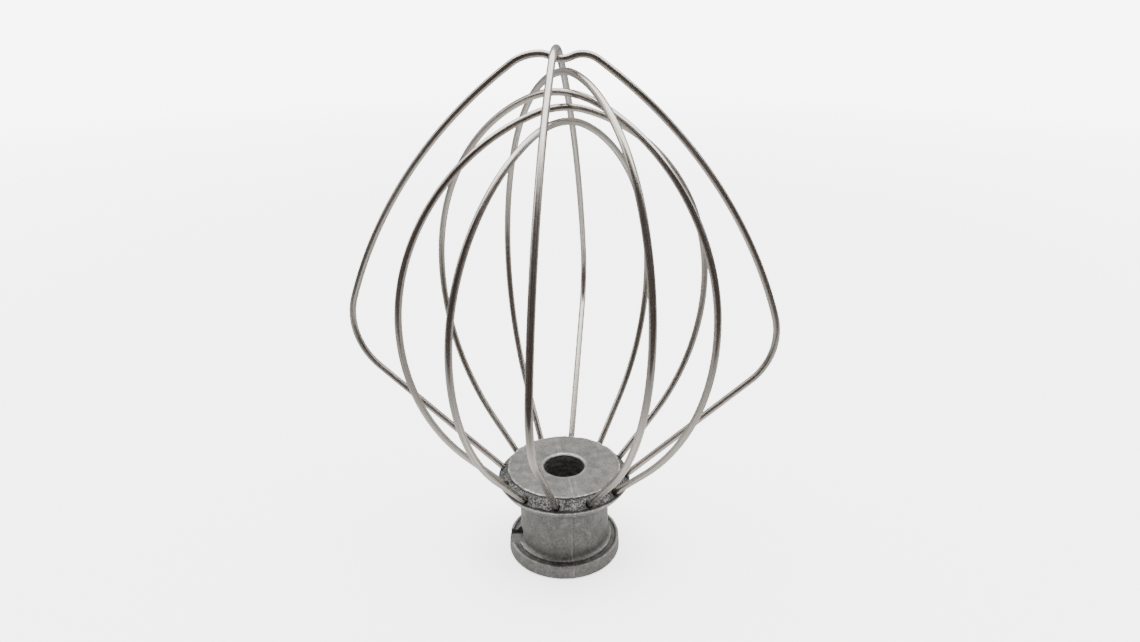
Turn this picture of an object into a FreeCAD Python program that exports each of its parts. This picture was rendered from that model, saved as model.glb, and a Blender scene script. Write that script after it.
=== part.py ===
import FreeCAD, Part
import math
import os

# Wire whip for a planetary stand mixer, standing on its hub with the wires up.
# Millimetres. The shaft bore is on the Z axis, the hub's lower face is at Z = 0
# and the loop of the notched outer wire lies in the XZ plane.
os.makedirs("parts", exist_ok=True)
V = FreeCAD.Vector
Z = V(0, 0, 1)

# ---- hub casting ----
HUB_H = 30.7           # lower face to top disc
BORE_R = 6.5           # slides on a 12.7 mm shaft
BORE_CHAMFER = 0.45
FLANGE_R = 18.3        # at the lower face
FLANGE_TOP_R = 18.0    # moulding draft
FLANGE_H = 4.55
RECESS = (15.6, 17.05, 0.6)   # ring recess in the flange top: inner r, outer r, depth
BODY_R = 14.3
NECK_Z = 21.2          # underside of the shoulder meets the body here
SHOULDER_R = 21.2      # widest edge of the shoulder
SHOULDER_Z = 27.3
LIP_R = 19.6           # lower edge of the shoulder's smooth side
LIP_Z = 24.5
DISC_R = 18.0          # smooth top disc
DISC_STEP = 0.55       # the disc stands this far above the rough cone

# ---- bayonet slot inside the hub ----
PIN_R = 11.2           # the slot clears a pin that reaches this radius
KEY_W = 6.0            # width of the way in from the lower face
KEY_AZ = 147.0         # where the pin goes in
POCKET_AZ = 193.0      # where it ends, in a pocket open to the side
POCKET_W = 7.4
POCKET_Z = 2.9         # floor of the pocket
TRACK_Z = 4.4          # floor of the track from the way in to the pocket
SLOT_TOP = 9.2

# ---- wires ----
WIRE_R = 1.025
SEAT_DEPTH = 7.0       # length of wire inside the hub
HOLE_R = 20.0          # where a wire's axis meets the cone
HOLE_Z = 28.6


def outline(points):
    """Closed face in XZ from (r, z, corner radius) with arcs at the corners."""
    n = len(points)
    arcs, ends = [], []
    for i, (x, z, r) in enumerate(points):
        p = V(x, 0, z)
        if r <= 0:
            arcs.append(None)
            ends.append((p, p))
            continue
        a = V(points[i - 1][0], 0, points[i - 1][1]) - p
        b = V(points[(i + 1) % n][0], 0, points[(i + 1) % n][1]) - p
        a.normalize()
        b.normalize()
        half = a.getAngle(b) / 2
        t = r / math.tan(half)
        mid = a + b
        mid.normalize()
        m = p + mid * (r / math.sin(half) - r)
        arcs.append(Part.Arc(p + a * t, m, p + b * t).toShape())
        ends.append((p + a * t, p + b * t))
    edges = []
    for i in range(n):
        if arcs[i]:
            edges.append(arcs[i])
        s, e = ends[i][1], ends[(i + 1) % n][0]
        if (e - s).Length > 1e-6:
            edges.append(Part.makeLine(s, e))
    return Part.Face(Part.Wire(edges))


def half_loop(heading, arcs, peak, inner):
    """Radial half of a loop, from the hub up: a straight leg at `heading` degrees,
    the (radius, degrees) arcs, then an arc that levels out at r = inner, z = peak.
    The leg's length follows from the peak. Returns the edges and their last point."""
    def walk(leg):
        h = math.radians(heading)
        d = (math.cos(h), math.sin(h))
        p = (HOLE_R + leg * d[0], HOLE_Z + leg * d[1])
        out = [("line", (HOLE_R - SEAT_DEPTH * d[0], HOLE_Z - SEAT_DEPTH * d[1]), p)]
        turns = list(arcs)
        rest = math.pi - h - sum(math.radians(t) for _, t in arcs)
        for k in range(len(turns) + 1):
            if k < len(turns):
                r, t = turns[k][0], math.radians(turns[k][1])
            else:
                r, t = (p[0] - inner) / math.sin(rest), rest
            c = (p[0] - r * math.sin(h), p[1] + r * math.cos(h))
            at = lambda q: (c[0] + r * math.sin(h + q), c[1] - r * math.cos(h + q))
            out.append(("arc", p, at(t / 2), at(t)))
            p, h = at(t), h + t
        return out, p[1]
    z0, z1 = walk(0.0)[1], walk(50.0)[1]
    return walk(50.0 * (peak - z0) / (z1 - z0))[0]


def dip(inner, depth, z):
    """From the shoulder at r = inner down to the middle, depth lower: two equal arcs."""
    turn = 2 * math.atan2(depth, inner)
    r = inner / math.sin(turn) / 2
    m = (inner / 2, z - depth / 2)
    a = (inner - r * math.sin(turn / 2), z - r + r * math.cos(turn / 2))
    b = (r * math.sin(turn / 2), z - depth + r - r * math.cos(turn / 2))
    return [("arc", (inner, z), a, m), ("arc", m, b, (0.0, z - depth))]


def swept(pieces):
    """Solid round wire along lines and arcs in the XZ plane: cylinders and tori."""
    def point(q):
        return V(q[0], 0, q[1])
    kind, first = pieces[0][0], point(pieces[0][1])
    way = (point(pieces[0][-1]) - first).normalize()
    ring = Part.Wire(Part.makeCircle(WIRE_R, first, way))
    faces = [Part.Face(ring)]
    for piece in pieces:
        p, q = point(piece[1]), point(piece[-1])
        if piece[0] == "line":
            faces += ring.extrude(q - p).Faces
            ring = ring.translated(q - p)
            continue
        m = point(piece[2])
        c = Part.Arc(p, m, q).toShape().Curve.Center
        turn = (p - c).cross(m - c)
        axis = V(0, 1, 0) if turn.y > 0 else V(0, -1, 0)
        angle = math.degrees((p - c).getAngle(q - c))
        faces += ring.revolve(c, axis, angle).Faces
        ring = ring.rotated(c, axis, angle)
    faces.append(Part.Face(ring))
    shell = Part.makeShell(faces)
    shell.sewShape()
    solid = Part.makeSolid(shell)
    if solid.Volume < 0:
        solid.reverse()
    return solid


def wire_solid(right, left, azimuth, lean, sway):
    """Both halves swept as one wire. The loop stands in the plane at `azimuth`
    degrees; lean tips that plane and sway tips the loop in its plane."""
    other = [(p[0],) + tuple((-x, z) for x, z in p[:0:-1]) for p in left[::-1]]
    solid = swept(right + other)
    pivot = V(0, 0, HOLE_Z)
    solid.rotate(pivot, V(1, 0, 0), -lean)
    solid.rotate(pivot, V(0, 1, 0), sway)
    solid.rotate(V(0, 0, 0), Z, azimuth)
    return solid


# Inner wires: azimuth, lean, sway (degrees), heading of the leg, arcs and peak height.
# The loops are bent by hand, so they lean a little and no two are the same.
LOOPS = {
    "inner_wire_1": (30, -0.5, -0.3, 48.0, [(66.5, 43), (59, 72)], 143.5),
    "inner_wire_2": (60, -0.1, -0.6, 48.0, [(63, 47.5), (58, 61)], 139.5),
    "inner_wire_3": (120, -1.2, 0.3, 47.5, [(71, 69), (52.5, 60.0)], 152.4),
    "inner_wire_4": (150, -0.7, 0.2, 45.0, [(70, 48), (60.5, 66)], 147.1),
}
wires = {}
for name, (az, lean, sway, heading, arcs, peak) in LOOPS.items():
    half = half_loop(heading, arcs, peak, 0.0)
    wires[name] = wire_solid(half, half, az, lean, sway)

# The two outer wires are bent to a corner and cross at the tip, where the notched
# one dips under the plain one.
TIP_SHOULDER_R = 5.7
TIP_SHOULDER_Z = 157.1
TIP_DIP = 1.3
PLAIN_PEAK = 158.4
notch = dip(TIP_SHOULDER_R, TIP_DIP, TIP_SHOULDER_Z)
right = half_loop(44.6, [(21, 63), (135.5, 37.5)], TIP_SHOULDER_Z, TIP_SHOULDER_R) + notch
left = half_loop(42.2, [(21.5, 66.5), (140.5, 35.3)], TIP_SHOULDER_Z, TIP_SHOULDER_R) + notch
wires["outer_wire_notched"] = wire_solid(right, left, 0, 0.0, 0.0)
right = half_loop(41.4, [(20, 68), (141.5, 38)], PLAIN_PEAK, 0.0)
left = half_loop(46.6, [(22, 60.2), (137, 37)], PLAIN_PEAK, 0.0)
wires["outer_wire_plain"] = wire_solid(right, left, 90, 0.65, 0.2)

# ---- hub ----
r_in, r_out, deep = RECESS
hub = outline([
    (BORE_R + BORE_CHAMFER, 0, 0), (FLANGE_R, 0, 0.5),
    (FLANGE_TOP_R, FLANGE_H, 0.3), (r_out, FLANGE_H, 0.15),
    (r_out - 0.2, FLANGE_H - deep, 0.15), (r_in + 0.1, FLANGE_H - deep, 0.1),
    (r_in - 0.1, FLANGE_H + 0.25, 0.12), (BODY_R + 0.1, FLANGE_H + 0.6, 0.9),
    (BODY_R, NECK_Z, 1.0), (LIP_R, LIP_Z, 0.5),
    (SHOULDER_R, SHOULDER_Z - 0.45, 0.4), (SHOULDER_R - 0.1, SHOULDER_Z, 0.15),
    (DISC_R + 0.15, HUB_H - DISC_STEP, 0.1), (DISC_R, HUB_H, 0.12),
    (BORE_R + BORE_CHAMFER, HUB_H, 0), (BORE_R, HUB_H - BORE_CHAMFER, 0),
    (BORE_R, BORE_CHAMFER, 0),
]).revolve(V(0, 0, 0), Z, 360)


def turned(shape, azimuth):
    out = shape.copy()
    out.rotate(V(0, 0, 0), Z, azimuth)
    return out


# The pin's way in is a radial slot with a round end; the track is a ring sector.
key = Part.makeBox(PIN_R + 1, KEY_W, SLOT_TOP + 1, V(0, -KEY_W / 2, -1))
key = key.common(Part.makeCylinder(PIN_R, SLOT_TOP + 1, V(0, 0, -1)))
half_key = math.degrees(math.asin(KEY_W / 2 / PIN_R))
first = KEY_AZ - half_key
track = Part.makeCylinder(PIN_R, SLOT_TOP - TRACK_Z, V(0, 0, TRACK_Z), Z, POCKET_AZ - first)
track.rotate(V(0, 0, 0), Z, first)
pocket = Part.makeBox(FLANGE_R + 2, POCKET_W, SLOT_TOP - POCKET_Z,
                      V(0, -POCKET_W / 2, POCKET_Z))
upright = [e for e in pocket.Edges
           if abs(e.Vertexes[0].Z - SLOT_TOP) < 1e-6 and abs(e.Vertexes[1].Z - SLOT_TOP) < 1e-6
           and abs(e.Vertexes[0].Y - e.Vertexes[1].Y) < 1e-6]
pocket = pocket.makeFillet(0.8, upright)
hub = hub.cut([turned(key, KEY_AZ), track, turned(pocket, POCKET_AZ)])
hub = hub.cut(list(wires.values()))
hub = hub.removeSplitter()
if hub.ShapeType == "Compound":
    hub = max(hub.Solids, key=lambda s: s.Volume)

hub.exportStep("parts/hub.step")
for name, shape in wires.items():
    solid = shape if shape.ShapeType == "Solid" else shape.Solids[0]
    solid.exportStep("parts/" + name + ".step")
    box = solid.optimalBoundingBox()
    print(name, round(solid.Volume, 1), solid.isValid(),
          [round(v, 2) for v in (box.XMin, box.XMax, box.YMin, box.YMax, box.ZMin, box.ZMax)])
box = hub.optimalBoundingBox()
print("hub", round(hub.Volume, 1), hub.isValid(), len(hub.Solids),
      [round(v, 2) for v in (box.XMin, box.XMax, box.YMin, box.YMax, box.ZMin, box.ZMax)])
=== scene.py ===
import math

import bmesh
import bpy
import numpy as np
from mathutils import Matrix, Vector


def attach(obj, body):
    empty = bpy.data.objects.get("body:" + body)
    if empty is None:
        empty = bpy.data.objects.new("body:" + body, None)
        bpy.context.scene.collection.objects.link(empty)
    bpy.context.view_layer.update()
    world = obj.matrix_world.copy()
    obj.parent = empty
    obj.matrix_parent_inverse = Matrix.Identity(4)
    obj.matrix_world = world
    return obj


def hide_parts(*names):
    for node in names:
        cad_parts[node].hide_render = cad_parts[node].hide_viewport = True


# A stand mixer's wire whip: cast hub and six drawn steel wires.
# Shapes are worked out in millimetres in the row frame and become metres in add_mesh.

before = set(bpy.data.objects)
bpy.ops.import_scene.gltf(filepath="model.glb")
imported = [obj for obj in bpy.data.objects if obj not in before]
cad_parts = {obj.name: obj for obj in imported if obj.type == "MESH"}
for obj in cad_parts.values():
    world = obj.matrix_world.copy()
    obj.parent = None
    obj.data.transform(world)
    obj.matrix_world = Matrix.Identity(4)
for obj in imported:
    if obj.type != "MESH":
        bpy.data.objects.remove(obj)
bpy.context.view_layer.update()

WIRE_R = 1.025
WIRE_SIDES = 28
WIRE_STEP = 1.1        # longest distance between the rings of a wire
SEAT_DEPTH = 7.0       # length of wire inside the hub
HOLE_R = 20.0          # where a wire's axis meets the cone
HOLE_Z = 28.6

HUB_SIDES = 372
HUB_TOP = 30.7
SKIN = 0.02            # the skin stays this near to the hub's two end faces
MOULD_AZ = 285.0       # the mould's halves meet in this vertical plane
TOOL_PITCH = 1.7       # of the marks that turning left in the bore

PIN_R = 11.2           # reach of the shaft's cross pin
KEY_W, KEY_AZ = 6.0, 147.0
POCKET_W, POCKET_AZ, POCKET_Z = 7.4, 193.0, 2.9
TRACK_Z, SLOT_TOP = 4.4, 9.2


def smooth(a, b, x):
    """0 at a, 1 at b, level at both ends."""
    t = np.clip((x - a) / (b - a), 0.0, 1.0)
    return t * t * (3 - 2 * t)


def bell(x, at, width):
    """1 where x is `at`, falling to 0 over about twice the width."""
    return np.exp(-((x - at) / width) ** 2)


def noise(p, size, seed):
    """Smooth noise from -1 to 1 at points p, with bumps about `size` mm apart."""
    q = np.asarray(p, float) / size + 50.0
    cell = np.floor(q).astype(np.int64)
    f = q - cell
    s = f * f * (3 - 2 * f)
    total = np.zeros(len(q))
    for dx in (0, 1):
        for dy in (0, 1):
            for dz in (0, 1):
                h = ((cell[:, 0] + dx) * 73856093) ^ ((cell[:, 1] + dy) * 19349663) \
                    ^ ((cell[:, 2] + dz) * 83492791) ^ (seed * 2654435)
                h = (h ^ (h >> 13)) * 1274126177 & 0xFFFFFFFF
                h = (h ^ (h >> 15)) & 0xFFFF
                w = (s[:, 0] if dx else 1 - s[:, 0]) * (s[:, 1] if dy else 1 - s[:, 1]) \
                    * (s[:, 2] if dz else 1 - s[:, 2])
                total += w * (h / 32767.5 - 1)
    return total


def polar(r, degrees):
    return (r * math.cos(math.radians(degrees)), r * math.sin(math.radians(degrees)))


def add_mesh(name, points, faces):
    mesh = bpy.data.meshes.new(name)
    mesh.from_pydata([tuple(p) for p in np.asarray(points, float) * 0.001], [], faces)
    mesh.update()
    obj = bpy.data.objects.new(name, mesh)
    bpy.context.scene.collection.objects.link(obj)
    return obj


def points_of(mesh):
    """A mesh's points in millimetres."""
    co = np.empty(len(mesh.vertices) * 3)
    mesh.vertices.foreach_get("co", co)
    return co.reshape(-1, 3) * 1000.0


def put(mesh, name, values, kind="FLOAT"):
    """Store one value for each point, for a material to read."""
    field = "value" if kind == "FLOAT" else "vector"
    mesh.attributes.new(name, kind, "POINT").data.foreach_set(
        field, np.ascontiguousarray(values, np.float32).ravel())


# ---------------------------------------------------------------- materials
class Nodes:
    """Short calls for a material's node tree."""

    def __init__(self, name):
        self.mat = bpy.data.materials.new(name)
        self.mat.use_nodes = True
        self.tree = self.mat.node_tree
        self.bsdf = next(n for n in self.tree.nodes if n.type == "BSDF_PRINCIPLED")

    def node(self, kind, inputs=None, **settings):
        n = self.tree.nodes.new("ShaderNode" + kind)
        for key, value in settings.items():
            setattr(n, key, value)
        for key, value in (inputs or {}).items():
            self.set(n, key, value)
        return n

    def set(self, n, key, value):
        socket = n.inputs[key]
        if isinstance(value, bpy.types.NodeSocket):
            self.tree.links.new(value, socket)
        else:
            socket.default_value = value

    def math(self, operation, a, b=0.0, clamp=False):
        n = self.node("Math", {0: a, 1: b}, operation=operation)
        n.use_clamp = clamp
        return n.outputs[0]

    def ramp(self, value, stops):
        n = self.node("ValToRGB", {"Fac": value})
        band = n.color_ramp
        while len(band.elements) < len(stops):
            band.elements.new(0.5)
        for e, (at, c) in zip(band.elements, stops):
            e.position = at
            e.color = (c, c, c, 1)
        return n.outputs["Color"]

    def mix(self, fac, a, b, blend="MIX"):
        n = self.node("Mix", data_type="RGBA", blend_type=blend)
        for i, value in ((0, fac), (6, a), (7, b)):
            self.set(n, i, (*value, 1) if isinstance(value, tuple) else value)
        return n.outputs[2]

    def tint(self, colour, value, stops, amount, other):
        """`colour` with some of `other` over it where the ramp of `value` is high."""
        return self.mix(self.math("MULTIPLY", self.ramp(value, stops), amount), colour, other)

    def grain(self, vector, scale, detail=3.0, rough=0.6, distort=0.0):
        return self.node("TexNoise", {"Vector": vector, "Scale": scale, "Detail": detail,
                                      "Roughness": rough, "Distortion": distort}).outputs["Fac"]

    def attribute(self, name, out="Fac"):
        return self.node("Attribute", attribute_name=name).outputs[out]

    def stretched(self, vector, scale):
        return self.node("Mapping", {"Vector": vector, "Scale": scale}).outputs["Vector"]

    def bump(self, height, strength, distance):
        self.set(self.bsdf, "Normal", self.node("Bump", {
            "Height": height, "Strength": strength, "Distance": distance}).outputs[0])

    def fade(self, value, near, far, first, last):
        """`first` where value is below near, `last` where it is above far."""
        return self.node("MapRange", {"Value": value, "From Min": near, "From Max": far,
                                      "To Min": first, "To Max": last},
                         interpolation_type="SMOOTHSTEP").outputs["Result"]

    def either(self, fac, a, b):
        return self.node("MixShader", {0: fac, 1: a, 2: b}).outputs[0]

    def both(self, a, b):
        return self.node("AddShader", {0: a, 1: b}).outputs[0]


def make_steel():
    """Satin drawn wire: fine lines along it, faint clouds, painted shade where it enters the
    hub.
    """
    k = Nodes("drawn_steel")
    drawn = k.attribute("drawn", "Vector")
    hub_end = k.attribute("from_hub")
    lines = k.grain(k.stretched(drawn, (1, 1, 0.012)), 2.6, 2.0, 0.5)
    fine = k.grain(k.stretched(drawn, (1, 1, 0.008)), 5.0, 1.0, 0.5)
    cloud = k.grain(k.stretched(drawn, (0.8, 0.8, 0.07)), 1.0)
    scuff = k.grain(k.stretched(drawn, (1, 1, 0.25)), 1.3, 2.0, 0.5)
    colour = k.mix(k.ramp(cloud, [(0.38, 0.0), (0.62, 1.0)]),
                   (0.66, 0.615, 0.555), (0.58, 0.55, 0.545))
    colour = k.mix(k.ramp(lines, [(0.42, 1.0), (0.60, 0.0)]), colour, (0.47, 0.43, 0.375))
    colour = k.tint(colour, fine, [(0.55, 0.0), (0.72, 1.0)], 0.35, (0.80, 0.78, 0.75))
    # painted shade over the wire's last few millimetres before the hub, and all of it inside
    painted_hole_shade = k.math("ADD", hub_end, k.math("MULTIPLY", k.math("SUBTRACT", scuff, 0.5), 7.0))
    painted_hole_shade = k.ramp(k.math("MULTIPLY", painted_hole_shade, 0.1, True), [(0.02, 0.85), (0.12, 0.22), (0.40, 0.0)])
    colour = k.mix(painted_hole_shade, colour, (0.12, 0.105, 0.10))
    rough = k.math("ADD", 0.17, k.math("MULTIPLY", lines, 0.16))
    rough = k.math("ADD", rough, k.math("MULTIPLY", k.math("SUBTRACT", scuff, 0.4), 0.08))
    tangent = k.node("Tangent", direction_type="UV_MAP", uv_map="wire_uv").outputs[0]
    for key, value in (("Base Color", colour), ("Metallic", 1.0), ("Roughness", rough),
                       ("Anisotropic", 0.45), ("Tangent", tangent)):
        k.set(k.bsdf, key, value)
    k.bump(lines, 0.10, 0.00005)
    return k.mat


def make_casting():
    """Grey die casting. The hub's points say how light it is, painted highlights included, how
    granular (grit) and how dark with painted shade in its corners, grooves and holes."""
    k = Nodes("cast_alloy")
    place = k.stretched(k.node("TexCoord").outputs["Object"], (1000, 1000, 1000))
    tone_and_highlight, grit, painted_shade = k.attribute("tone_and_highlight"), k.attribute("grit"), k.attribute("painted_shade")
    blotch = k.grain(place, 0.32, 4.0, 0.6, 0.4)
    speck = k.grain(place, 3.0)
    fine = k.grain(place, 5.0, 2.0)
    pebble = k.grain(place, 1.3)
    crumb = k.grain(place, 1.9)
    flow = k.grain(k.stretched(place, (0.35, 1.0, 0.5)), 0.9, 3.0, 0.6, 2.2)
    colour = k.mix(k.ramp(blotch, [(0.32, 0.0), (0.68, 1.0)]),
                   (0.27, 0.267, 0.253), (0.43, 0.425, 0.405))
    for value, stops, amount, other in (
            (flow, [(0.44, 0.0), (0.5, 1.0), (0.56, 0.0)], 0.22, (0.22, 0.215, 0.20)),
            (speck, [(0.34, 1.0), (0.52, 0.0)], 0.7, (0.12, 0.117, 0.108)),
            (fine, [(0.58, 0.0), (0.72, 1.0)], 0.5, (0.62, 0.61, 0.585)),
            (pebble, [(0.36, 1.0), (0.52, 0.0)], 0.35, (0.17, 0.165, 0.155)),
            (pebble, [(0.56, 0.0), (0.70, 1.0)], 0.4, (0.56, 0.55, 0.53))):
        colour = k.tint(colour, value, stops, amount, other)
    # the cone's grain: dark specks with painted glints
    painted_glint = k.ramp(crumb, [(0.38, 0.02), (0.50, 0.16), (0.66, 0.62)])
    colour = k.mix(k.math("MULTIPLY", grit, 0.8), colour, painted_glint)
    grey = k.node("CombineColor", {0: tone_and_highlight, 1: tone_and_highlight, 2: tone_and_highlight}).outputs[0]
    colour = k.mix(1.0, colour, grey, "MULTIPLY")
    # painted shade darkens the colour in corners, grooves and holes
    colour = k.mix(painted_shade, colour, (0.035, 0.033, 0.03))
    rough = k.math("ADD", 0.36, k.math("MULTIPLY", speck, 0.22))
    rough = k.math("ADD", rough, k.math("MULTIPLY", painted_shade, 0.3))
    for key, value in (("Base Color", colour), ("Metallic", 1.0), ("Roughness", rough)):
        k.set(k.bsdf, key, value)
    coarse = k.math("ADD", 0.55, k.math("MULTIPLY", grit, 1.4))
    k.bump(k.math("ADD", k.math("MULTIPLY", speck, coarse), k.math("MULTIPLY", fine, 0.25)),
           0.55, 0.00022)
    return k.mat


steel = make_steel()
casting = make_casting()


# ---------------------------------------------------------------- wires
# A loop's axis is drawn in the XZ plane as pieces: ("line", from, to), or
# ("arc", centre, radius, first heading, turn, side), side -1 for a turn the other way.
def half_loop(heading, arcs, peak, inner):
    """Radial half of a loop, from the hub up: a straight leg at `heading` degrees,
    the (radius, degrees) arcs, then an arc that levels out at r = inner, z = peak."""
    def walk(leg):
        h = math.radians(heading)
        d = (math.cos(h), math.sin(h))
        p = (HOLE_R + leg * d[0], HOLE_Z + leg * d[1])
        out = [("line", (HOLE_R - SEAT_DEPTH * d[0], HOLE_Z - SEAT_DEPTH * d[1]), p)]
        rest = math.pi - h - sum(math.radians(t) for _, t in arcs)
        for k in range(len(arcs) + 1):
            if k < len(arcs):
                r, t = arcs[k][0], math.radians(arcs[k][1])
            else:
                r, t = (p[0] - inner) / math.sin(rest), rest
            c = (p[0] - r * math.sin(h), p[1] + r * math.cos(h))
            out.append(("arc", c, r, h, t, 1))
            h += t
            p = (c[0] + r * math.sin(h), c[1] - r * math.cos(h))
        return out, p[1]
    # the peak rises evenly with the leg, so two trials give the leg that reaches it
    trial = 50.0
    z0, z1 = walk(0.0)[1], walk(trial)[1]
    return walk(trial * (peak - z0) / (z1 - z0))[0]


def dip(inner, depth, z):
    """From the shoulder at r = inner down to the middle, depth lower: two equal arcs."""
    turn = 2 * math.atan2(depth, inner)
    r = inner / math.sin(turn) / 2
    return [("arc", (inner, z - r), r, math.pi, turn, 1),
            ("arc", (0.0, z - depth + r), r, math.pi + turn, -turn, -1)]


def along(pieces):
    """Points on the pieces, WIRE_STEP or less apart, without the last piece's end."""
    out = []
    for piece in pieces:
        if piece[0] == "line":
            p, q = np.array(piece[1]), np.array(piece[2])
            n = max(2, int(np.linalg.norm(q - p) / WIRE_STEP))
            out += [tuple(p + (q - p) * k / n) for k in range(n)]
        else:
            _, c, r, h, t, side = piece
            n = max(4, int(abs(r * t) / min(WIRE_STEP, abs(r) * 0.09)))
            for k in range(n):
                a = h + t * k / n
                out.append((c[0] + side * r * math.sin(a), c[1] - side * r * math.cos(a)))
    return out


def wire(name, right, left, azimuth, lean, sway, seed):
    """Tube round a whole loop, turned to its place. Returns that turn."""
    _, c, radius, start, turned, side = right[-1]
    top = (0.0, c[1] - side * radius * math.cos(start + turned))
    line = np.array(along(right) + [top] + [(-x, z) for x, z in along(left)][::-1])
    step = np.linalg.norm(np.diff(line, axis=0), axis=1)
    s = np.concatenate([[0], np.cumsum(step)])
    t = np.gradient(line, s, axis=0)
    t /= np.linalg.norm(t, axis=1)[:, None]
    n = np.stack([-t[:, 1], t[:, 0]], 1)
    rings, around = len(line), WIRE_SIDES
    a = np.arange(around) / around * 2 * math.pi
    pts = np.empty((rings, around, 3))
    pts[:, :, 0] = line[:, None, 0] + WIRE_R * n[:, None, 0] * np.cos(a)
    pts[:, :, 2] = line[:, None, 1] + WIRE_R * n[:, None, 1] * np.cos(a)
    pts[:, :, 1] = WIRE_R * np.sin(a)
    ends = np.array([[line[0, 0], 0, line[0, 1]], [line[-1, 0], 0, line[-1, 1]]])
    pts = np.vstack([pts.reshape(-1, 3), ends])
    # lean and sway are about a point on the hub's axis, level with the wire holes
    pivot = Vector((0, 0, HOLE_Z))
    turn = Matrix.Rotation(math.radians(azimuth), 4, "Z") @ Matrix.Translation(pivot) \
        @ Matrix.Rotation(math.radians(sway), 4, "Y") \
        @ Matrix.Rotation(math.radians(-lean), 4, "X") @ Matrix.Translation(-pivot)
    m = np.array(turn)
    pts = pts @ m[:3, :3].T + m[:3, 3]

    # faces round the tube, then a fan at each end, with their corners' UVs
    faces, uvs = [], []
    for i in range(rings - 1):
        v0, v1 = s[i] / 100, s[i + 1] / 100
        for j in range(around):
            k = (j + 1) % around
            faces.append((i * around + j, i * around + k,
                          (i + 1) * around + k, (i + 1) * around + j))
            u0, u1 = j / around, (j + 1) / around
            uvs += [u0, v0, u1, v0, u1, v1, u0, v1]
    first_end = rings * around
    last_ring = first_end - around
    v1 = s[-1] / 100
    for j in range(around):
        k = (j + 1) % around
        faces.append((first_end, k, j))
        faces.append((first_end + 1, last_ring + j, last_ring + k))
        u0, u1 = j / around, (j + 1) / around
        uvs += [0.5, 0, u1, 0, u0, 0, 0.5, v1, u0, v1, u1, v1]
    obj = add_mesh(name, pts, faces)
    mesh = obj.data
    mesh.shade_smooth()

    # drawn: a point on a circle, with the distance along the wire as its third number
    drawn = np.empty((rings, around, 3))
    drawn[:, :, 0] = np.cos(a)
    drawn[:, :, 1] = np.sin(a)
    drawn[:, :, 2] = (s + seed * 400)[:, None]
    drawn = np.vstack([drawn.reshape(-1, 3), [[0, 0, 0], [0, 0, s[-1]]]])
    put(mesh, "drawn", drawn, "FLOAT_VECTOR")
    # from_hub: distance along the wire from where it leaves the hub
    seat = np.minimum(s, s[-1] - s) - SEAT_DEPTH
    seat = np.concatenate([np.repeat(seat, around), [-SEAT_DEPTH, -SEAT_DEPTH]])
    put(mesh, "from_hub", seat)
    mesh.uv_layers.new(name="wire_uv").data.foreach_set("uv", np.array(uvs, np.float32))
    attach(obj, "root")
    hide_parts(name.replace("_steel", ""))
    obj.data.materials.append(steel)
    return turn


# azimuth, lean, sway, heading of the leg, arcs (radius, degrees), height of the peak
LOOPS = {
    "inner_wire_1": (30, -0.5, -0.3, 48.0, [(66.5, 43), (59, 72)], 143.5),
    "inner_wire_2": (60, -0.1, -0.6, 48.0, [(63, 47.5), (58, 61)], 139.5),
    "inner_wire_3": (120, -1.2, 0.3, 47.5, [(71, 69), (52.5, 60.0)], 152.4),
    "inner_wire_4": (150, -0.7, 0.2, 45.0, [(70, 48), (60.5, 66)], 147.1),
}
seats = []         # (turn, heading on the right, heading on the left)
for number, (name, (az, lean, sway, heading, arcs, peak)) in enumerate(LOOPS.items()):
    half = half_loop(heading, arcs, peak, 0.0)
    seats.append((wire(name + "_steel", half, half, az, lean, sway, number), heading, heading))

# the two outer wires cross at the tip, where the notched one dips under the plain one
TIP_R, TIP_Z, TIP_DIP = 5.7, 157.1, 1.3
PLAIN_PEAK = 158.4
notch = dip(TIP_R, TIP_DIP, TIP_Z)
seats.append((wire("outer_wire_notched_steel",
                   half_loop(44.6, [(21, 63), (135.5, 37.5)], TIP_Z, TIP_R) + notch,
                   half_loop(42.2, [(21.5, 66.5), (140.5, 35.3)], TIP_Z, TIP_R) + notch,
                   0, 0.0, 0.0, 4), 44.6, 42.2))
seats.append((wire("outer_wire_plain_steel",
                   half_loop(41.4, [(20, 68), (141.5, 38)], PLAIN_PEAK, 0.0),
                   half_loop(46.6, [(22, 60.2), (137, 37)], PLAIN_PEAK, 0.0),
                   90, 0.65, 0.2, 5), 41.4, 46.6))


def seat_axes():
    """Each wire end's turn, side and heading, the axis's point on the cone and its
    direction outwards, both before the turn."""
    for turn, right, left in seats:
        for sign, heading in ((1, right), (-1, left)):
            h = math.radians(heading)
            yield (turn, sign, heading, Vector((sign * HOLE_R, 0, HOLE_Z)),
                   Vector((sign * math.cos(h), 0, math.sin(h))))


# ---------------------------------------------------------------- hub
# Half section: (r, z, corner radius, spacing of points on the run that follows)
OUTLINE = [
    (6.95, 0, 0, 1.2), (18.3, 0, .5, .42),                                  # lower face
    (18.0, 4.55, .3, .3), (17.05, 4.55, .15, .3),                           # flange
    (16.85, 3.95, .15, .4), (15.7, 3.95, .1, .4), (15.5, 4.8, .12, .25),    # recess, step
    (14.4, 5.15, .9, .5), (14.3, 21.2, 1.0, .5), (19.6, 24.5, .5, .4),      # barrel, neck
    (21.2, 26.85, .4, .2), (21.1, 27.3, .15, .27),                          # lip
    (18.15, 30.15, .1, .2), (18.0, 30.7, .12, .42),                         # cone, disc
    (6.95, 30.7, 0, .25), (6.5, 30.25, 0, .36), (6.5, .45, 0, .25),         # bore
]
UPRIGHT = [1, 1, 0.2]      # points are multiplied by this for noise drawn out along z
RINGED = [0.3, 0.3, 2]     # and by this for noise drawn out round the bore


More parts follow.
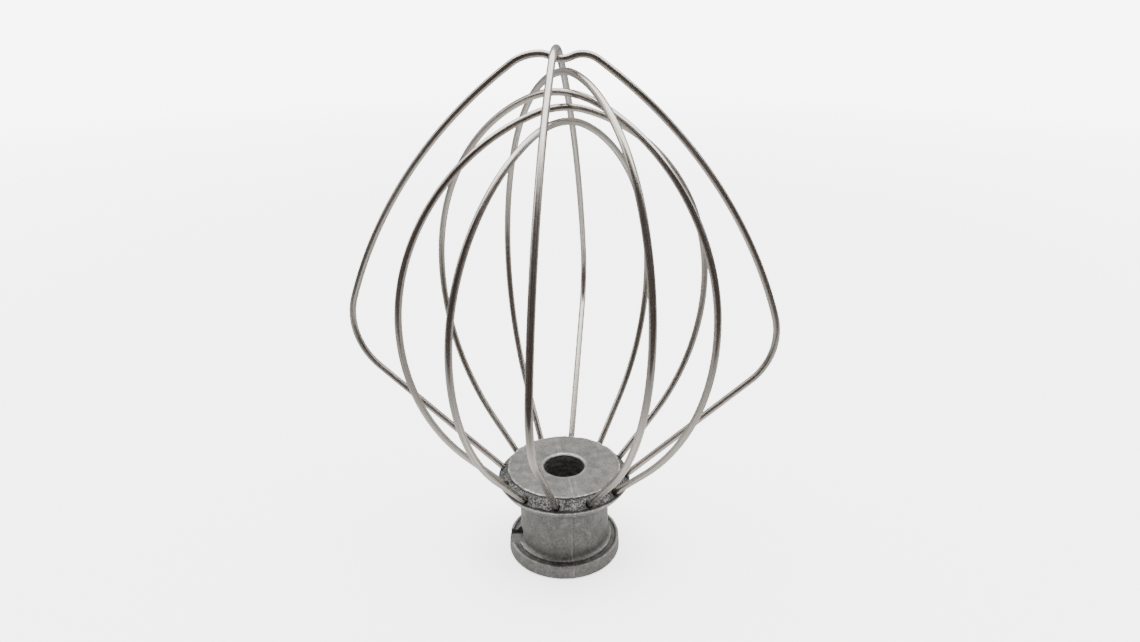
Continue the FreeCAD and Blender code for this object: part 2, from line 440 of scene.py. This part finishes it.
def outline():
    """The half section as closely spaced points, with arcs at its corners."""
    ends = []
    n = len(OUTLINE)
    for i, (x, z, r, _) in enumerate(OUTLINE):
        p = np.array([x, z])
        a = np.array(OUTLINE[i - 1][:2]) - p
        b = np.array(OUTLINE[(i + 1) % n][:2]) - p
        a, b = a / np.linalg.norm(a), b / np.linalg.norm(b)
        if r <= 0:
            ends.append([p])
            continue
        half = math.acos(float(np.clip(a @ b, -1, 1))) / 2
        mid = (a + b) / np.linalg.norm(a + b)
        c = p + mid * (r / math.sin(half))
        s, e = p + a * r / math.tan(half) - c, p + b * r / math.tan(half) - c
        a0 = math.atan2(s[1], s[0])
        d = (math.atan2(e[1], e[0]) - a0 + math.pi) % (2 * math.pi) - math.pi
        k = 4 if r < 0.5 else 6
        ends.append([c + r * np.array([math.cos(a0 + d * q / k), math.sin(a0 + d * q / k)])
                     for q in range(k + 1)])
    out = []
    for i in range(n):
        out += ends[i]
        p, q = ends[i][-1], ends[(i + 1) % n][0]
        m = max(1, int(round(np.linalg.norm(q - p) / OUTLINE[i][3])))
        out += [p + (q - p) * k / m for k in range(1, m)]
    return np.array(out)


def mould_side(r, a):
    """Distance from the mould's plane, and whether a point is on its front half."""
    turned = a - math.radians(MOULD_AZ)
    return r * np.sin(turned), np.cos(turned) > 0


def tool_phase(z, a):
    return z * 2 * math.pi / TOOL_PITCH + a


def turned_hub():
    """The casting with its uneven skin, before anything is cut out of it."""
    rz = outline()
    n, around = len(rz), HUB_SIDES
    t = np.roll(rz, -1, 0) - np.roll(rz, 1, 0)
    t /= np.linalg.norm(t, axis=1)[:, None]
    normal = np.stack([t[:, 1], -t[:, 0]], 1)
    clockwise = np.sum(rz[:, 0] * np.roll(rz[:, 1], -1)
                       - np.roll(rz[:, 0], -1) * rz[:, 1]) < 0
    if clockwise:
        normal = -normal
    r, z = np.repeat(rz[:, 0], around), np.repeat(rz[:, 1], around)
    nr, nz = np.repeat(normal[:, 0], around), np.repeat(normal[:, 1], around)
    a = np.tile(np.arange(around) / around * 2 * math.pi, n)
    p = np.stack([r * np.cos(a), r * np.sin(a), z], 1)
    side, front = mould_side(r, a)
    outside = (r > 7.05) & (z > 0.05)
    # `out` is how far each point moves along its normal, first for the casting's skin
    out = np.where(outside, 0.035 * noise(p, 3.2, 1) + 0.03 * noise(p, 1.0, 2), 0)
    # granular cone round the disc
    cone = smooth(18.05, 18.4, r) * smooth(26.9, 27.4, z) * (z < 30.3)
    out += cone * (0.10 * noise(p, 0.62, 3) + 0.07 * noise(p, 1.7, 4) - 0.05)
    # fine groove where the cone ends
    out -= 0.13 * bell(z, 27.35, 0.16) * (r > 20.5)
    # mould lines, with a third one on the disc's front
    wave = 0.6 + 0.4 * noise(p, 1.3, 5)
    out += np.where(outside & front,
                    0.20 * bell(side, 0.53, 0.27) * wave - 0.10 * bell(side, 1.05, 0.2), 0)
    out += np.where(outside & front & (z > 30), 0.10 * bell(side, 2.2, 0.2) * wave, 0)
    out += np.where(outside & ~front,
                    (0.12 * bell(side, -0.65, 0.18) + 0.13 * bell(side, 0.05, 0.18)) * wave, 0)
    # soldered patches on the barrel, to the right of the front mould line
    barrel = (r < 15.2) & (r > 13.5) & (z > 5.5) & (z < 21)
    patch = np.exp(-((side - 2.6) / 2.0) ** 2 - ((z - 15) / 4.5) ** 2) * front
    out += np.where(barrel, patch * 0.22 * np.clip(noise(p, 1.0, 6) + 0.1, 0, 1), 0)
    # ragged flash at the disc's edge and on the flange's inner step
    rag = np.clip(noise(p * UPRIGHT, 0.9, 7) * 0.7 + noise(p * UPRIGHT, 2.6, 8) * 0.7, -1, 1)
    edge = bell(r, 18.0, 0.24) * (z > 30.0)
    step = bell(r, 15.5, 0.3) * (z > 4.3) * (z < 5.4)
    for where, reach in ((edge, 0.30), (step, 0.14)):
        p[:, 0] += where * rag * reach * np.cos(a)
        p[:, 1] += where * rag * reach * np.sin(a)
    out += edge * 0.07 * np.clip(rag, 0, 1)
    out += step * 0.08 * rag
    # tool marks in the bore
    bore = (r < 6.6) & (z > 0.6) & (z < 30.2)
    out += np.where(bore, 0.025 * np.sin(tool_phase(z, a)) + 0.05 * noise(p * RINGED, 1.1, 9), 0)
    p[:, 0] += out * nr * np.cos(a)
    p[:, 1] += out * nr * np.sin(a)
    # nothing rises past the disc's face or sinks below the lower one
    p[:, 2] += np.minimum(out * nz, np.maximum(SKIN, HUB_TOP + SKIN - z)) * (z > SKIN)
    p[:, 2] = np.maximum(p[:, 2], np.minimum(z, SKIN))
    faces = []
    for i in range(n):
        m = (i + 1) % n
        for j in range(around):
            k = (j + 1) % around
            f = (i * around + j, i * around + k, m * around + k, m * around + j)
            faces.append(f[::-1] if clockwise else f)
    return add_mesh("hub_casting", p, faces)


# ---------------------------------------------------------------- hub's openings
HALF_KEY = math.degrees(math.asin(KEY_W / 2 / PIN_R))


def extruded(name, low, high):
    """Solid between two loops with equal numbers of points."""
    n = len(low)
    faces = [tuple(range(n))[::-1], tuple(range(n, 2 * n))]
    faces += [(i, (i + 1) % n, n + (i + 1) % n, n + i) for i in range(n)]
    return add_mesh(name, low + high, faces)


def prism(name, loop, z0, z1):
    return extruded(name, [(x, y, z0) for x, y in loop], [(x, y, z1) for x, y in loop])


def way_in():
    """The pin's way in from below: a radial slot."""
    loop = [(0, -KEY_W / 2)] + [polar(PIN_R, -HALF_KEY + 2 * HALF_KEY * q / 12)
                                for q in range(13)] + [(0, KEY_W / 2)]
    turn = Matrix.Rotation(math.radians(KEY_AZ), 4, "Z")
    return prism("cut_key", [(turn @ Vector((x, y, 0)))[:2] for x, y in loop], -1.0, SLOT_TOP)


def pin_track():
    """The pin's track from the way in to the pocket: a sector."""
    first, last = KEY_AZ - HALF_KEY, POCKET_AZ
    arc = [polar(PIN_R, first + (last - first) * q / 40) for q in range(41)]
    return prism("cut_track", [(0.0, 0.0)] + arc, TRACK_Z, SLOT_TOP)


def pin_pocket():
    """The pin's pocket, open to the side, with its two upper edges rounded."""
    y, r, top = POCKET_W / 2, 0.8, SLOT_TOP
    arc = [(y - r + r * math.cos(q * math.pi / 12), top - r + r * math.sin(q * math.pi / 12))
           for q in range(7)]
    loop = [(-y, POCKET_Z), (y, POCKET_Z)] + arc + [(-u, w) for u, w in arc[::-1]]
    turn = Matrix.Rotation(math.radians(POCKET_AZ), 4, "Z")
    near, far = ([tuple(turn @ Vector((x, u, w))) for u, w in loop] for x in (0.0, 20.0))
    return extruded("cut_pocket", near, far)


def wire_holes():
    """One tool for every wire's hole: tubes that open out, a little unevenly, at the cone."""
    rings = ((-SEAT_DEPTH - 0.2, WIRE_R + 0.03), (-2.4, WIRE_R + 0.03),
             (-1.2, WIRE_R + 0.16), (3.0, WIRE_R + 0.2))     # (place on the axis, radius)
    n = WIRE_SIDES
    pts, faces = [], []
    for turn, sign, heading, c, d in seat_axes():
        u = Vector((0, 1, 0))
        w = d.cross(u)
        base = len(pts)
        for at, rad in rings:
            for q in range(n):
                a = 2 * math.pi * q / n
                uneven = 1 + 0.035 * math.sin(2 * a + heading + sign) * (at > -2)
                v = c + d * at + (u * math.cos(a) + w * math.sin(a)) * rad * uneven
                pts.append(tuple(turn @ v))
        faces.append(tuple(base + q for q in range(n)))
        faces.append(tuple(base + 3 * n + q for q in range(n))[::-1])
        for lay in range(3):
            for q in range(n):
                a0, a1 = base + lay * n + q, base + lay * n + (q + 1) % n
                faces.append((a0, a0 + n, a1 + n, a1))
    return add_mesh("cut_holes", pts, faces)


def cut(obj, tool):
    """Take the tool out of obj, then delete the tool."""
    bm = bmesh.new()
    bm.from_mesh(tool.data)
    bmesh.ops.recalc_face_normals(bm, faces=bm.faces)
    bm.to_mesh(tool.data)
    bm.free()
    m = obj.modifiers.new("cut", "BOOLEAN")
    m.operation = "DIFFERENCE"
    m.object = tool
    m.solver = "MANIFOLD"
    bpy.context.view_layer.update()
    depsgraph = bpy.context.evaluated_depsgraph_get()
    done = bpy.data.meshes.new_from_object(obj.evaluated_get(depsgraph))
    obj.modifiers.remove(m)
    old = obj.data
    obj.data = done
    bpy.data.meshes.remove(old)
    bpy.data.objects.remove(tool)


hub = turned_hub()
for tool in (way_in(), pin_track(), pin_pocket(), wire_holes()):
    cut(hub, tool)
hub.data.name = "hub_casting"
hub.data.shade_smooth()
hub.data.set_sharp_from_angle(angle=math.radians(48))


# ---------------------------------------------------------------- hub's colouring
def hub_tone_and_highlights(p, r, z, a):
    """How light the metal is: by face, with the lip painted lighter, then painted highlights on
    edges and along the mould lines.
    """
    disc = 0.84 + 0.14 * noise(p, 2.2, 16) + 0.08 * noise(p, 0.8, 17)
    bore = 1.0 + 0.12 * np.sin(tool_phase(z, a)) + 0.35 * noise(p * RINGED, 1.0, 14)
    tone_and_highlight = np.ones(len(p)) * 0.78
    for face, value in (((z > 30.2) & (r > 6.4), disc),
                        ((r < 15.3) & (r > 13.4) & (z > 5) & (z < 22), 0.72),     # barrel
                        ((r > 17.2) & (z < 4.7), 0.86),                           # flange
                        ((r < 6.8) & (z > 0.4) & (z < 30.1), bore),
                        # the lip is painted lighter, as a painted highlight
                        ((r > 19.4) & (z > 24.2) & (z < 27.1), 1.25)):            # lip
        tone_and_highlight = np.where(face, value, tone_and_highlight)
    # painted highlights on the disc's ragged edge, the bore's chamfer, the flange's step and
    # rim, and the lip's edge
    rag = np.clip(0.75 + 0.9 * noise(p * UPRIGHT, 0.8, 13), 0.1, 1.5)
    painted_highlight = rag * bell(r, 17.93, 0.26) * (z > 30.4) + bell(r, 6.9, 0.35) * (z > 30.2)
    painted_highlight += 0.8 * bell(r, 15.45, 0.22) * (z > 4.5) * (z < 5.1)
    painted_highlight += 0.7 * bell(r, 17.7, 0.25) * (z > 4.35) * (z < 4.7)
    painted_highlight += 0.8 * bell(z, 26.75, 0.3) * (r > 20.6)
    tone_and_highlight = tone_and_highlight * (1 + 1.1 * np.clip(painted_highlight, 0, 1.3))
    # painted highlight along the disc's ragged flash
    flash_highlight = np.clip(1.6 * noise(p * UPRIGHT, 0.7, 15) + 0.35, 0, 1)
    tone_and_highlight = tone_and_highlight * (1 + 1.1 * flash_highlight * bell(r, 17.9, 0.22) * (z > 30.4))
    side, front = mould_side(r, a)
    # the mould lines are painted lighter, as painted highlights on their ridges
    seam_highlight = bell(side, 0.45, 0.2) * front + 0.5 * bell(side, 2.15, 0.18) * front * (z > 30)
    seam_highlight += 0.8 * (bell(side, -0.7, 0.18) + bell(side, 0.05, 0.18)) * ~front
    seam_highlight *= np.clip(0.55 + 0.9 * noise(p, 0.9, 11), 0, 1.3) * (r > 7) * (z > 0.1)
    return tone_and_highlight * (1 + 0.75 * seam_highlight)


def hub_painted_shade(p, r, z, a):
    """Painted shade: how dark the corners, the grooves and the holes are."""
    side, front = mould_side(r, a)
    painted_shade = np.zeros(len(p))
    for value in (
            # painted shade in the groove beside the front mould line
            np.where(z > 30, 0.12, 0.3) * bell(side, 1.0, 0.2) * front * (r > 7) * (z > 0.1)
            * np.clip(0.6 + noise(p, 0.9, 12), 0, 1),
            # painted shade in the groove below the cone, and round the foot of the disc
            0.85 * bell(z, 27.4, 0.22) * (r > 20.3),
            0.7 * bell(z, 30.15, 0.2) * (r > 17.9) * (r < 18.6),
            # painted shade in the flange's recess
            0.15 * (r > 15.6) * (r < 17.0) * (z < 4.3) * (z > 3.5),
            # painted shade on the neck under the lip
            0.72 * smooth(19.9, 21.6, z) * smooth(25.0, 24.0, z) * (r > 13.5) * (r < 19.9),
            # painted shade in the pin's slot and pocket
            0.5 * smooth(14.4, 13.2, r) * (z > 2.8) * (z < 9.4) * (r > 6.6)):
        painted_shade = np.maximum(painted_shade, value)
    # painted shade round the wires where they go in, and inside their holes
    for turn, _, _, c, d in seat_axes():
        v = p - np.array(turn @ c)
        d = np.array(turn.to_3x3() @ d)
        t = v @ d
        far = np.linalg.norm(v - t[:, None] * d, axis=1)
        near = smooth(1.75, 1.15, far) * (np.abs(t) < 3)
        deep = smooth(-0.5, -1.6, t) * (far < 1.15) * (t > -SEAT_DEPTH - 0.3)
        painted_shade = np.maximum(painted_shade, np.clip(0.75 * near + deep, 0, 0.97))
    return painted_shade


p = points_of(hub.data)
r, z, a = np.hypot(p[:, 0], p[:, 1]), p[:, 2], np.arctan2(p[:, 1], p[:, 0])
# the metal's lightness, painted highlights included
put(hub.data, "tone_and_highlight", hub_tone_and_highlights(p, r, z, a))
put(hub.data, "grit", smooth(18.1, 18.35, r) * smooth(27.3, 27.7, z) * (z < 30.4))
# painted shade in corners, grooves and holes
put(hub.data, "painted_shade", hub_painted_shade(p, r, z, a))
hub.data.materials.clear()
hub.data.materials.append(casting)
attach(hub, "root")
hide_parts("hub")


# ---------------------------------------------------------------- studio
def matt(name):
    k = Nodes(name)
    k.set(k.bsdf, "Roughness", 0.9)
    k.set(k.bsdf, "Specular IOR Level", 0.1)
    return k


# Floor just below the hub's lower face: bright to the camera, darker paper in the metal's
# reflections, painted paler near the hub as a painted pool of light, and see-through from below.
FLOOR_HALF, FLOOR_Z = 9000, -0.03
floor = add_mesh("floor", [(x * FLOOR_HALF, y * FLOOR_HALF, FLOOR_Z)
                           for x, y in ((-1, -1), (1, -1), (1, 1), (-1, 1))], [(0, 1, 2, 3)])
k = matt("floor_paper")
from_hub = k.node("VectorMath", {0: k.node("TexCoord").outputs["Object"]},
                  operation="LENGTH").outputs["Value"]      # metres
# paper painted paler near the hub: a painted pool of light, seen in reflections
k.set(k.bsdf, "Base Color", k.fade(from_hub, 0.035, 0.14, 0.72, 0.32))
white = k.node("BsdfDiffuse", {"Color": (0.93, 0.93, 0.93, 1)}).outputs[0]
glow = k.node("Emission", {"Strength": k.fade(from_hub, 0.15, 1.4, 1.6, 6.0)}).outputs[0]
from_above = k.either(k.node("LightPath").outputs["Is Camera Ray"], k.bsdf.outputs[0],
                      k.both(k.both(white, white), glow))
k.set(next(n for n in k.tree.nodes if n.type == "OUTPUT_MATERIAL"), "Surface",
      k.either(k.node("NewGeometry").outputs["Backfacing"], from_above,
               k.node("BsdfTransparent").outputs[0]))
floor.data.materials.append(k.mat)

# Dark sheet on the camera's side, seen only in the metal's reflections, in rows of
# (distance from the hub's axis, height, degrees to each side).
CARD_AZ, CARD_HALF = -83, 8
CARD_COLS = 2 * CARD_HALF + 1
CARD_ROWS = [(175, 3, 14), (205, 3, 32), (245, 4, 48), (300, 10, 66), (350, 40, 80),
             (390, 110, 92), (400, 200, 92), (385, 300, 86), (345, 390, 76), (300, 450, 66),
             (255, 490, 56)]
sheet = [(*polar(reach, CARD_AZ + half * (q - CARD_HALF) / CARD_HALF), height)
         for reach, height, half in CARD_ROWS for q in range(CARD_COLS)]
card = add_mesh("dark_card", sheet,
                [(i * CARD_COLS + j, i * CARD_COLS + j + 1,
                  (i + 1) * CARD_COLS + j + 1, (i + 1) * CARD_COLS + j)
                 for i in range(len(CARD_ROWS) - 1) for j in range(CARD_COLS - 1)])
k = matt("card_cloth")
k.set(k.bsdf, "Base Color", (0.055, 0.045, 0.042, 1))
card.data.materials.append(k.mat)
card.data.shade_smooth()
card.visible_camera = False
card.visible_diffuse = False
card.visible_shadow = False
card.visible_transmission = False

# Surroundings: grey, lighter at the horizon and overhead; plain white to the camera.
SKY = [(0.0, (0.86, 0.86, 0.86)), (0.05, (0.60, 0.59, 0.575)), (0.45, (0.62, 0.61, 0.60)),
       (0.75, (1.0, 1.0, 1.0))]
SKY_STRENGTH, WHITE_STRENGTH = 0.8, 7.3
world = bpy.data.worlds.new("studio")
bpy.context.scene.world = world
world.use_nodes = True
nodes, link = world.node_tree.nodes, world.node_tree.links.new
back = next(n for n in nodes if n.type == "BACKGROUND")
back.inputs["Strength"].default_value = SKY_STRENGTH
split = nodes.new("ShaderNodeSeparateXYZ")
link(nodes.new("ShaderNodeTexCoord").outputs["Generated"], split.inputs[0])
ramp = nodes.new("ShaderNodeValToRGB")
link(split.outputs["Z"], ramp.inputs["Fac"])
while len(ramp.color_ramp.elements) < len(SKY):
    ramp.color_ramp.elements.new(0.5)
for e, (at, c) in zip(ramp.color_ramp.elements, SKY):
    e.position, e.color = at, (*c, 1)
link(ramp.outputs["Color"], back.inputs["Color"])
plain_back = nodes.new("ShaderNodeBackground")
plain_back.inputs["Color"].default_value = (1, 1, 1, 1)
plain_back.inputs["Strength"].default_value = WHITE_STRENGTH
either = nodes.new("ShaderNodeMixShader")
link(nodes.new("ShaderNodeLightPath").outputs["Is Camera Ray"], either.inputs[0])
link(back.outputs[0], either.inputs[1])
link(plain_back.outputs[0], either.inputs[2])
link(either.outputs[0], next(n for n in nodes if n.type == "OUTPUT_WORLD").inputs["Surface"])


def area(name, place, target, size, watts):
    light = bpy.data.lights.new(name, "AREA")
    light.shape = "RECTANGLE"
    light.size, light.size_y = size
    light.energy = watts
    obj = bpy.data.objects.new(name, light)
    bpy.context.scene.collection.objects.link(obj)
    obj.location = place
    obj.rotation_euler = (Vector(target) - Vector(place)).to_track_quat("-Z", "Y").to_euler()


area("top_box", (0.0, 0.12, 0.80), (0, 0, 0.05), (1.2, 0.75), 11.0)
area("left_box", (-0.75, -0.15, 0.45), (0, 0, 0.08), (0.5, 0.6), 2.2)
area("right_box", (0.8, -0.05, 0.4), (0, 0, 0.08), (0.5, 0.6), 2.2)

# ---------------------------------------------------------------- camera
cam = bpy.data.cameras.new("camera")
cam.sensor_fit = "HORIZONTAL"
cam.sensor_width = 36.0
cam.lens = 819.9 / 1140 * 36.0
cam.clip_start, cam.clip_end = 0.01, 50.0
eye = Vector((0.02900, -0.22358, 0.17584))
aim = Vector((0.00207, 0.00025, 0.080985))
roll = math.radians(-0.198)
ahead = (aim - eye).normalized()
level = ahead.cross(Vector((0, 0, 1))).normalized()
upright = level.cross(ahead)
right = level * math.cos(roll) + upright * math.sin(roll)
up = upright * math.cos(roll) - level * math.sin(roll)
camera = bpy.data.objects.new("camera", cam)
camera.matrix_world = Matrix((
    (right.x, up.x, -ahead.x, eye.x),
    (right.y, up.y, -ahead.y, eye.y),
    (right.z, up.z, -ahead.z, eye.z),
    (0, 0, 0, 1)))
bpy.context.scene.collection.objects.link(camera)
bpy.context.scene.camera = camera
